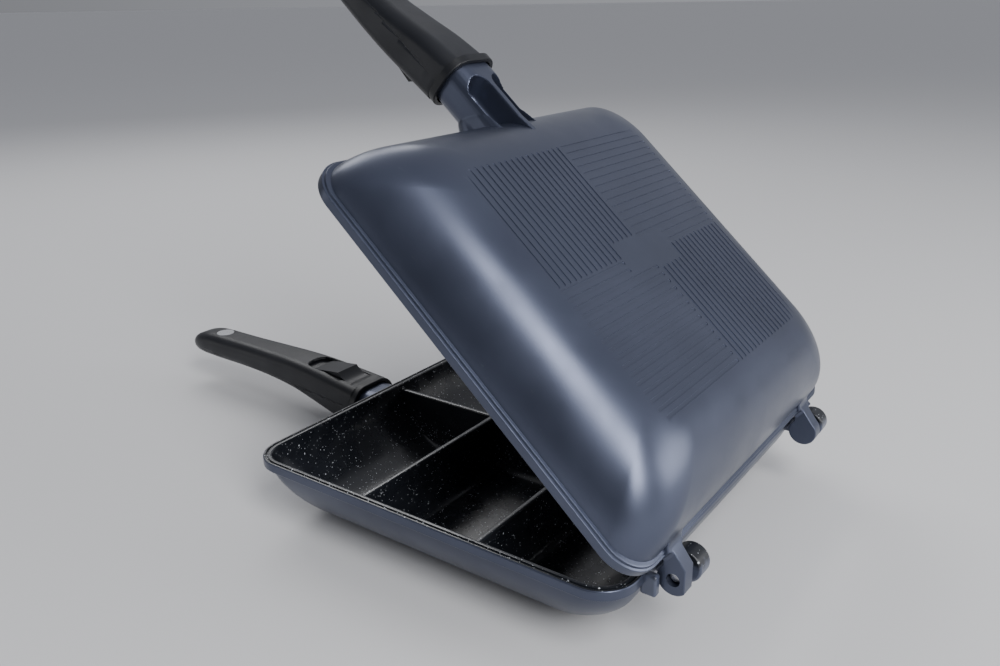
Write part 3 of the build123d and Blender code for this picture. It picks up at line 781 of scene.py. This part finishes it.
def grooveTree():
    tree = bpy.data.node_groups.new("groove rows", "GeometryNodeTree")
    sockets = tree.interface
    sockets.new_socket("Geometry", in_out="INPUT", socket_type="NodeSocketGeometry")
    sizes = ("Pitch", "First Row", "Margin", "Half Width", "Depth", "Reach", "Strip Start", "Strip Side")
    for name in sizes:
        sockets.new_socket(name, in_out="INPUT", socket_type="NodeSocketFloat")
    sockets.new_socket("Rows", in_out="INPUT", socket_type="NodeSocketInt")
    sockets.new_socket("Material", in_out="INPUT", socket_type="NodeSocketMaterial")
    sockets.new_socket("Geometry", in_out="OUTPUT", socket_type="NodeSocketGeometry")
    given = tree.nodes.new("NodeGroupInput").outputs
    place = addNode(tree, "GeometryNodeInputPosition").outputs[0]
    apart = addNode(tree, "ShaderNodeSeparateXYZ", {0: place}).outputs

    # one point a row, which keeps where its groove begins
    inputs = {
        "Count": given["Rows"],
        "Start Location": alongAxis(tree, "Y", given["First Row"]),
        "Offset": alongAxis(tree, "Y", given["Pitch"]),
    }
    rows = addNode(tree, "GeometryNodeMeshLine", inputs, mode="OFFSET").outputs[0]
    beside = maths(tree, "LESS_THAN", apart["Y"], given["Strip Side"])
    strip = maths(tree, "MULTIPLY", beside, given["Strip Start"])
    marked = storeNumber(tree, rows, "rowStart", maths(tree, "ADD", given["Margin"], strip))

    # a ball with a flattened top and bottom, whose two halves become the groove's ends
    sides, rings = grooves["ballSides"], grooves["ballRings"]
    inputs = {"Segments": sides, "Rings": rings, "Radius": given["Half Width"]}
    ball = addNode(tree, "GeometryNodeMeshUVSphere", inputs).outputs[0]
    inputs = {"Geometry": ball, "Rotation": (0.0, pi / 2, 0.0)}
    laid = addNode(tree, "GeometryNodeTransform", inputs).outputs[0]
    lowest = maths(tree, "MULTIPLY", given["Depth"], -1.0)
    level = maths(tree, "MINIMUM", maths(tree, "MAXIMUM", apart["Z"], lowest), given["Depth"])
    drop = alongAxis(tree, "Z", maths(tree, "SUBTRACT", level, apart["Z"]))
    isAhead = maths(tree, "GREATER_THAN", apart["X"], 0.0)
    sided = storeNumber(tree, movePoints(tree, laid, drop), "ahead", isAhead)

    # a ball at each point, its half ahead pulled out to the field's edge
    inputs = {"Points": marked, "Instance": sided}
    copies = addNode(tree, "GeometryNodeInstanceOnPoints", inputs).outputs[0]
    real = addNode(tree, "GeometryNodeRealizeInstances", {"Geometry": copies}).outputs[0]
    low = maths(tree, "ADD", readNumber(tree, "rowStart"), given["Half Width"])
    high = maths(tree, "SUBTRACT", given["Reach"], given["Half Width"])
    shift = spread(tree, readNumber(tree, "ahead"), 0.0, 1.0, low, high)
    pulled = movePoints(tree, real, alongAxis(tree, "X", shift))
    inputs = {"Geometry": pulled, "Material": given["Material"]}
    finished = addNode(tree, "GeometryNodeSetMaterial", inputs)
    result = tree.nodes.new("NodeGroupOutput")
    tree.links.new(finished.outputs[0], result.inputs[0])
    return tree


def grooveRows(tree, first, reach, breadth, stripStart, stripSide):
    values = {
        "Pitch": grooves["pitch"],
        "First Row": first,
        "Margin": grooves["margin"],
        "Half Width": grooves["halfWidth"],
        "Depth": grooves["depth"],
        "Reach": reach,
        "Strip Start": stripStart,
        "Strip Side": stripSide,
        "Rows": int((breadth - first - grooves["halfWidth"]) / grooves["pitch"]) + 1,
        "Material": panFinishes[slateIndex],
    }
    piece = meshObject("grooveRows", [(0, 0, 0)], [])
    modifier = addModifier(piece, "NODES", node_group=tree)
    for item in tree.interface.items_tree:
        if item.name in values:
            modifier[item.identifier] = values[item.name]
    applyModifiers(piece)
    mesh = piece.data
    bpy.data.objects.remove(piece)
    return mesh


def grooveCutter():
    tree = grooveTree()
    wide, long = grooves["fieldX"], grooves["fieldY"]
    stripX, stripY = grooves["stripX"] / 2, grooves["stripY"] / 2
    alongX = grooveRows(tree, grooves["firstRow"], wide, long, stripX, stripY)
    alongY = grooveRows(tree, grooves["firstColumn"], long, wide, stripY, stripX)
    swap = Matrix(((0, 1, 0, 0), (1, 0, 0, 0), (0, 0, 1, 0), (0, 0, 0, 1)))
    form = bmesh.new()
    for signX, signY in ((1, 1), (1, -1), (-1, 1), (-1, -1)):
        runsAlongX = signX * signY < 0
        mesh = (alongX if runsAlongX else alongY).copy()
        if not runsAlongX:
            mesh.transform(swap)
        mirrored = Matrix.Diagonal((signX, signY, 1, 1))
        mesh.transform(Matrix.Translation((0, 0, -grooves["outside"])) @ mirrored)
        form.from_mesh(mesh)
        bpy.data.meshes.remove(mesh)
    bmesh.ops.recalc_face_normals(form, faces=form.faces)
    mesh = bpy.data.meshes.new("grooveCutter")
    form.to_mesh(mesh)
    form.free()
    for finish in panFinishes:
        mesh.materials.append(finish)
    mesh.polygons.foreach_set("material_index", [slateIndex] * len(mesh.polygons))
    return addObject("grooveCutter", mesh)


# small cast forms on the pans


def loft(name, sections, index):
    count = len(sections[0])
    vertices = [point for section in sections for point in section]
    faces = [tuple(range(count)), tuple(range(len(vertices) - 1, len(vertices) - count - 1, -1))]
    faces += bridge(len(sections), count)
    return meshObject(name, vertices, faces, panFinishes, [index] * len(faces))


def plate(name, outline, low, high, index, edge=0, segments=3):
    piece = loft(name, [[(x, y, z) for y, z in outline] for x in (low, high)], index)
    if edge:
        roundEdges(piece, edge, segments)
    return piece


def block(name, low, high, index, edge=0, segments=3):
    outline = [(low[1], low[2]), (high[1], low[2]), (high[1], high[2]), (low[1], high[2])]
    return plate(name, outline, low[0], high[0], index, edge, segments)


# outlines are run and level from the hinge's axis
knuckles = {
    "nearX": -0.0825,
    "farX": 0.0775,
    "radius": 0.0073,
    "halfWidth": 0.004,
    "crest": 0.0078,
    "crestRun": 0.0002,
    "rise": tan(radians(11.0)),
    "facet": 0.0051,
    "discTurns": (93.0, 366),
    "discSteps": 40,
    "under": ((0.0093, 0.0031), (0.0108, 0.0034), (0.0136, 0.0034)),
    "edge": 0.0006,
    "bore": 0.0030,
    "boreSides": 32,
    # half length of each bore, and how far the far one's middle lies off its knuckle's
    "nearBore": 0.006,
    "farBore": 0.004,
    "farBoreShift": 0.0015,
}


def atHinge(outline):
    return [(hingePlace.y + y, hingePlace.z + z) for y, z in outline]


def knuckleOutline(crest, facet):
    radius = knuckles["radius"]
    start, end = knuckles["discTurns"]
    reach = knuckles["under"][-1][0]
    front = (0.0, radius)
    if facet:
        front = (knuckles["crestRun"], crest)
        start = 180 - openAngle + degrees(acos(facet / radius))
    disc = arc((0, 0), radius, start, end, knuckles["discSteps"])
    return atHinge([(reach, crest + reach * knuckles["rise"]), front] + disc + list(knuckles["under"]))


# where an arm widens into the pan, in runs from the hinge's axis
armFoot = {
    "runs": (0.0068, 0.0077, 0.0086, 0.0093, 0.0098, 0.0101, 0.0112, 0.0120, 0.0126, 0.0131, 0.0140),
    # start, length and size of the flare
    "sideFlare": (0.0068, 0.0032, 0.0026),
    "topFlare": (0.0096, 0.0036, 0.0030),
    "within": 0.0001,
    "corner": 0.0009,
    # the underside: a level, then a slope, then a level again
    "underLevel": 0.0026,
    "slopeStart": -0.006,
    "slope": 0.95,
    "slopeEnd": 0.0108,
    "rearLevel": 0.0036,
}


def flareAt(run, start, length, size):
    share = min(max((run - start) / length, 0), 1)
    return size * (1 - sqrt(1 - share**2))


def armRoot(centre, crest, values):
    sections = []
    corner, within = values["corner"], values["within"]
    for run in values["runs"]:
        wide = knuckles["halfWidth"] - within + flareAt(run, *values["sideFlare"])
        top = crest - within + run * knuckles["rise"] + flareAt(run, *values["topFlare"])
        base = values["rearLevel"]
        if run < values["slopeEnd"]:
            base = max(values["underLevel"], values["slopeStart"] + run * values["slope"])
        level = hingePlace.z + (top + base) / 2
        outline = roundedOutline(wide, (top - base) / 2, corner, 3, level)
        sections.append([(centre + x, hingePlace.y + run, z) for x, z in outline])
    return loft("armRoot", sections, slateIndex)


def boreCutter(centre, half):
    sides = knuckles["boreSides"]
    outline = arc((hingePlace.y, hingePlace.z), knuckles["bore"], 0, 360 - 360 / sides, sides - 1)
    return plate("boreCutter", outline, centre - half, centre + half, slateIndex)


ears = {
    "offset": 0.0121,
    "halfWidth": 0.0049,
    "reach": 0.0142,
    "seat": ((0.0142, 0.0016), (0.0108, 0.0016), (0.0093, 0.0019)),
    "discTurns": (29.6, 270),
    "discSteps": 44,
    "edge": 0.0011,
    "edgeSteps": 4,
}


def buildEar(centre, values):
    radius, half = knuckles["radius"], values["halfWidth"]
    disc = arc((0, 0), radius, *values["discTurns"], values["discSteps"])
    outline = atHinge([(values["reach"], -radius)] + list(values["seat"]) + disc)
    middle, edge, steps = centre + values["offset"], values["edge"], values["edgeSteps"]
    return plate("ear", outline, middle - half, middle + half, oversprayIndex, edge, steps)


# stops beside the knuckles: the lug's levels are the pan's own, the tab's are above the lid's seat
lug = {
    "gap": 0.0008,
    "width": 0.0042,
    "outside": 0.005,
    "inside": 0.0022,
    "levels": (0.0275, 0.0375),
    "edge": 0.0012,
    "edgeSteps": 4,
}
tab = {
    "gap": 0.0008,
    "width": 0.004,
    "outside": 0.002,
    "inside": 0.0022,
    "levels": (0.0008, 0.006),
    "edge": 0.0006,
    "edgeSteps": 3,
}


def buildStop(name, values, start, level, index):
    rim = -pan["length"] / 2
    low, high = values["levels"]
    first = (start, rim - values["outside"], level + low)
    last = (start + values["width"], rim + values["inside"], level + high)
    return block(name, first, last, index, values["edge"], values["edgeSteps"])


stub = {
    "halfWidth": 0.0155,
    "halfHeight": 0.0126,
    "corner": 0.0095,
    "cornerSteps": 7,
    "level": 0.0171,
    # shares of the rear face's size, runs of the flare from the wall, and the straight stretch
    "rearShares": (0.04, 0.3, 0.55, 0.8, 1.0),
    "flareRuns": (0.0, 0.0006, 0.0014, 0.0024, 0.0036, 0.0050, 0.0065, 0.0080),
    "straight": (0.1170, 0.1225, 0.130),
    # size of the flare, its share at the sides and below, what it gains at the top, and its curve
    "flare": 0.0040,
    "flareSide": 0.3,
    "flareTop": 0.9,
    "flareCurve": 0.8,
    "ribHalf": 0.00165,
    "pocketRim": 0.0011,
    "pocketDepth": 0.0135,
    "pocketStart": 0.060,
    "pocketEnd": 0.1210,
    "pocketFillet": 0.0026,
    "cell": 0.00035,
    "softPasses": 6,
}

tongue = {
    "start": 0.129,
    "end": 0.150,
    "half": 0.0105,
    "height": 0.0070,
    "level": 0.0165,
    "corner": 0.0025,
    "edge": 0.0008,
    "edgeRun": 0.001,
}


def wallRun(level):
    # how far out the shell's outer face and its inner face are at a level
    radius, top = pan["shellRadius"], pan["depth"] - pan["rimHeight"]
    outerCentre = pan["overhang"] + radius * cos(asin((radius - top) / radius))
    outer = outerCentre - sqrt(max(radius**2 - (radius - min(level, top)) ** 2, 0))
    within = radius - pan["floor"]
    innerCentre = pan["land"] + within * cos(asin((radius - pan["depth"]) / within))
    drop = radius - max(level, pan["floor"])
    inner = innerCentre - sqrt(max(within**2 - drop**2, 0))
    half = pan["length"] / 2
    return half - outer, half - inner


def stubOutline(values):
    # points round the stub, each with the direction out of its side
    x, z, corner = values["halfWidth"], values["halfHeight"], values["corner"]
    ring = []
    for signX, signZ, start in cornerTurns:
        for normal in arc((0, 0), 1, start, start + 90, values["cornerSteps"]):
            across = signX * (x - corner) + corner * normal[0]
            up = signZ * (z - corner) + corner * normal[1]
            ring.append(((across, up), normal))
    return ring


def pocketCutter(values, side):
    # goes straight in beside the rib, with a round end, and leaves a thin rim at the side
    corner, rib, fillet = values["corner"], values["ribHalf"], values["pocketFillet"]
    reach = values["halfWidth"] - values["pocketRim"]
    rise = corner - sqrt(corner**2 - (corner - values["pocketRim"]) ** 2)
    width = sqrt((reach - rib) ** 2 + rise**2)
    narrowing = (reach - rib) / width
    middle, low = (reach + rib) / 2, values["level"] - values["halfHeight"]
    start, centre = values["pocketStart"], values["pocketEnd"] - width / 2
    rings = [(-corner, 0), (values["pocketDepth"] - fillet, 0)]
    for turn in (22.5, 45, 67.5, 90):
        depth = values["pocketDepth"] - fillet * (1 - sin(radians(turn)))
        rings.append((depth, fillet * (1 - cos(radians(turn)))))
    sections = []
    for depth, inset in rings:
        half = width / 2 - inset
        outline = [(start, -half)] + arc((centre, 0), half, -90, 90, 24) + [(start, half)]
        sections.append([(middle - narrowing * out, along, low + depth) for along, out in outline])
    piece = loft("pocket", sections, slateIndex)
    if side < 0:
        piece.data.transform(Matrix.Diagonal((-1, 1, 1, 1)))
        piece.data.flip_normals()
    return piece


def flaredRing(ring, share, values):
    points = []
    for (x, z), normal in ring:
        high = values["flareSide"] + values["flareTop"] * max(normal[1], 0)
        flare = values["flare"] * share ** values["flareCurve"] * high
        points.append((x + normal[0] * flare, z + normal[1] * flare))
    return points


def stubMesh(values):
    ring = stubOutline(values)
    sections = []
    # a rear face along the middle of the shell's wall, then the flare, then the straight stretch
    for share in values["rearShares"]:
        section = []
        for x, z in flaredRing(ring, 1, values):
            level = values["level"] + share * z
            outer, inner = wallRun(level)
            section.append((share * x, (outer + inner) / 2, level))
        sections.append(section)
    for run in values["flareRuns"]:
        section = []
        for x, z in flaredRing(ring, 1 - run / values["flareRuns"][-1], values):
            level = values["level"] + z
            section.append((x, wallRun(level)[0] + run, level))
        sections.append(section)
    for y in values["straight"]:
        sections.append([(x, y, values["level"] + z) for (x, z), _ in ring])
    body = loft("stub", sections, slateIndex)
    combine(body, [pocketCutter(values, side) for side in (1, -1)], "DIFFERENCE")
    softenEdges(body, values["cell"], values["softPasses"])
    return body


# where the hook sits in the tongue, from the deck behind the collar's face
latch = {
    "deckDrop": 0.0071,
    "deckAngle": 6.0,
    "hookAlong": 0.0169,
    "hookTip": -0.0147,
    "room": (0.0045, 0.0024, 0.0045),
}


def tongueMesh(values):
    sections = []
    half, high, corner = values["half"], values["height"] / 2, values["corner"]
    end, edge = values["end"], values["edge"]
    for y, inset in ((values["start"], 0), (end - values["edgeRun"], 0), (end, edge)):
        outline = roundedOutline(half - inset, high - inset, corner, 5, values["level"])
        sections.append([(x, y, z) for x, z in outline])
    body = loft("tongue", sections, slateIndex)
    x, y, z = latch["room"]
    notch = block("notch", (-x, -y, 0), (x, y, z), slateIndex)
    place = Matrix.Translation((0, collarFace, pan["depth"] - latch["deckDrop"]))
    slope = Matrix.Rotation(radians(latch["deckAngle"]), 4, "X")
    notch.data.transform(place @ slope @ Matrix.Translation((0, latch["hookAlong"], latch["hookTip"])))
    combine(body, [notch], "DIFFERENCE")
    return body


def standIn(piece, side, part):
    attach(piece, side)
    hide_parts(f"{side}_{part}")
    return piece


def buildBasePan():
    piece = panMesh("basePan", channelRim, True)
    combine(piece, [grooveCutter()], "DIFFERENCE")
    added = [stubMesh(stub), tongueMesh(tongue)]
    added += [buildEar(centre, ears) for centre in (knuckles["nearX"], knuckles["farX"])]
    lugStart = knuckles["nearX"] - knuckles["halfWidth"] - lug["gap"] - lug["width"]
    added.append(buildStop("lug", lug, lugStart, 0, oversprayIndex))
    combine(piece, added, "UNION")
    smoothOver(piece)
    return standIn(piece, "base", "pan")


def buildLidPan():
    piece = panMesh("lidPan", beadRim, False)
    combine(piece, [grooveCutter()], "DIFFERENCE")
    combine(piece, [stubMesh(stub), tongueMesh(tongue)], "UNION")
    piece.data.transform(turnedOver)
    half, nearX, farX = knuckles["halfWidth"], knuckles["nearX"], knuckles["farX"]
    arms = ((nearX, knuckles["crest"], knuckles["facet"]), (farX, knuckles["radius"], None))
    added = []
    for centre, crest, facet in arms:
        outline = knuckleOutline(crest, facet)
        added.append(plate("arm", outline, centre - half, centre + half, slateIndex, knuckles["edge"]))
        added.append(armRoot(centre, crest, armFoot))
    tabStart, seat = farX + half + tab["gap"], pan["depth"] + pan["rimGap"]
    added.append(buildStop("tab", tab, tabStart, seat, slateIndex))
    combine(piece, added, "UNION")
    near = boreCutter(nearX, knuckles["nearBore"])
    far = boreCutter(farX + knuckles["farBoreShift"], knuckles["farBore"])
    combine(piece, [near, far], "DIFFERENCE")
    piece.data.transform(lidSwing)
    smoothOver(piece)
    return standIn(piece, "lid", "pan")


# the grips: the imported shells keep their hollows, slot and screw seats, and get a rounder skin

# in millimetres, along the grip from the collar's face and down from the plane where the pans meet
grip = {
    # distance, half width, and how far down the top and the bottom are
    "stations": (
        (-2, 16.8, 7.2, 34.2), (22, 15.8, 4.5, 30.5), (42, 14.8, 2.3, 25.9), (62, 13.7, 1.1, 21.7),
        (87, 12.7, 0.7, 19.1), (112, 12.1, 0.7, 18.1), (142, 12.2, 0.75, 17.7), (150, 12.0, 0.9, 17.5),
        (158, 12.0, 1.2, 17.3),
    ),
    "tipStart": 150,
    "tipEnd": 175.6,
    "tipDrop": 3.4,
    "tipCurve": 1.6,
    "tipBlunt": 0.0004,
    # radius of the top edges before and behind the hollow, and of the bottom edges
    "topRadius": (6.2, 7.6),
    "radiusFrom": 60,
    "radiusTo": 130,
    "bottomRadius": 7.4,
    # the most that an edge's radius takes of a half width or half height
    "roundest": 0.94,
    "sections": 44,
    "tipSections": 16,
    "cornerSteps": 10,
    "sideSteps": 4,
}


def gripSize(distance, values):
    # a smooth curve through the stations, with its slope at each from those beside it
    stations = values["stations"]
    index = max(i for i in range(len(stations) - 1) if i == 0 or stations[i][0] <= distance)
    near, far = stations[index], stations[index + 1]
    before, after = stations[max(index - 1, 0)], stations[min(index + 2, len(stations) - 1)]
    run = far[0] - near[0]
    share = (distance - near[0]) / run
    size = []
    for axis in (1, 2, 3):
        slopeNear = (far[axis] - before[axis]) / (far[0] - before[0]) * run
        slopeFar = (after[axis] - near[axis]) / (after[0] - near[0]) * run
        a, b = near[axis], far[axis]
        size.append(
            a * (1 + share**2 * (2 * share - 3))
            + b * share**2 * (3 - 2 * share)
            + slopeNear * share * (1 - share) ** 2
            - slopeFar * share**2 * (1 - share)
        )
    return size


def gripOutline(half, high, top, topRadius, bottomRadius, values):
    # across and down from where the pans meet, with the flat sides divided
    outline = []
    for signX, signZ, start in cornerTurns:
        radius = topRadius if signZ > 0 else bottomRadius
        level = top + radius if signZ > 0 else top + 2 * high - radius
        for x, z in arc((signX * (half - radius), 0), radius, start, start + 90, values["cornerSteps"]):
            outline.append((x, level - z))
    ring = []
    for number, ((x, drop), (nextX, nextDrop)) in enumerate(zip(outline, outline[1:] + outline[:1])):
        parts = 1 if (number + 1) % (values["cornerSteps"] + 1) else values["sideSteps"]
        for part in range(parts):
            ring.append((x + (nextX - x) * part / parts, drop + (nextDrop - drop) * part / parts))
    return ring


def gripRing(distance, values):
    tip = max((distance - values["tipStart"]) / (values["tipEnd"] - values["tipStart"]), 0)
    half, top, bottom = gripSize(min(distance, values["tipStart"]), values)
    shrink = sqrt(max(1 - tip**2, values["tipBlunt"]))
    middle = (top + bottom) / 2 + values["tipDrop"] * tip ** values["tipCurve"]
    half, high = half * shrink, (bottom - top) / 2 * shrink
    share = (distance - values["radiusFrom"]) / (values["radiusTo"] - values["radiusFrom"])
    share = min(max(share, 0), 1)
    room = values["roundest"] * min(half, high)
    before, behind = values["topRadius"]
    topRadius = min(before + share * (behind - before), room)
    bottomRadius = min(values["bottomRadius"], room)
    ring = gripOutline(half, high, middle - high, topRadius, bottomRadius, values)
    y = collarFace + distance / 1000
    return [(x / 1000, y, pan["depth"] - drop / 1000) for x, drop in ring]


def gripForm(values):
    start, tip, end = values["stations"][0][0], values["tipStart"], values["tipEnd"]
    count, tipCount = values["sections"], values["tipSections"]
    places = [start + (tip - start) * step / count for step in range(count)]
    places += [tip + (end - tip) * sin(pi / 2 * step / tipCount) for step in range(tipCount + 1)]
    return loft("gripForm", [gripRing(place, values) for place in places], slateIndex)


def mergedCopy(side, part):
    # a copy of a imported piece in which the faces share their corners
    name = side + "".join(word.capitalize() for word in part.split("_"))
    piece = addObject(name, nodes[f"{side}_{part}"].data.copy())
    form = bmesh.new()
    form.from_mesh(piece.data)
    bmesh.ops.remove_doubles(form, verts=form.verts, dist=0.000001)
    form.to_mesh(piece.data)
    form.free()
    piece.data.materials.clear()
    return piece


def buildGripPart(side, part):
    piece = mergedCopy(side, part)
    skin = gripForm(grip)
    if side == "lid":
        skin.data.transform(lidSwing @ turnedOver)
    skin.data.materials.clear()
    combine(piece, [skin], "INTERSECT")
    piece.data.materials.append(gripFinish)
    smoothOver(piece)
    return standIn(piece, side, part)


def buildSpring(side):
    # a copy of the imported spring in steel, standing in for it, with a mesh of its own
    piece = mergedCopy(side, "return_spring")
    piece.data.materials.append(steelFinish)
    standIn(piece, side, "return_spring")
    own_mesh(piece)
    return piece


basePan = buildBasePan()
print("base pan,", len(basePan.data.polygons), "faces")
lidPan = buildLidPan()
print("lid pan,", len(lidPan.data.polygons), "faces")
gripNames = ("grip_cover", "grip_shell")
gripParts = [buildGripPart(side, part) for side in ("base", "lid") for part in gripNames]
print("grips,", sum(len(part.data.polygons) for part in gripParts), "faces")
springs = [buildSpring(side) for side in ("base", "lid")]
print("springs,", sum(len(spring.data.polygons) for spring in springs), "faces")


# finishes of the carried-over pieces

nodeFinishes = {
    "handle_collar": collarFinish,
    "socket_sleeve": steelFinish,
    "lever_pin": steelFinish,
    "handle_magnet": magnetFinish,
    "grip_screws": steelFinish,
    "release_slider": buttonFinish,
    "latch_lever": steelFinish,
}


def refinish(piece, finish):
    piece.data.materials.clear()
    piece.data.materials.append(finish)


for side in ("base", "lid"):
    for name, finish in nodeFinishes.items():
        refinish(nodes[f"{side}_{name}"], finish)
for end in ("near", "far"):
    refinish(nodes[f"hinge_pin_{end}"], steelFinish)
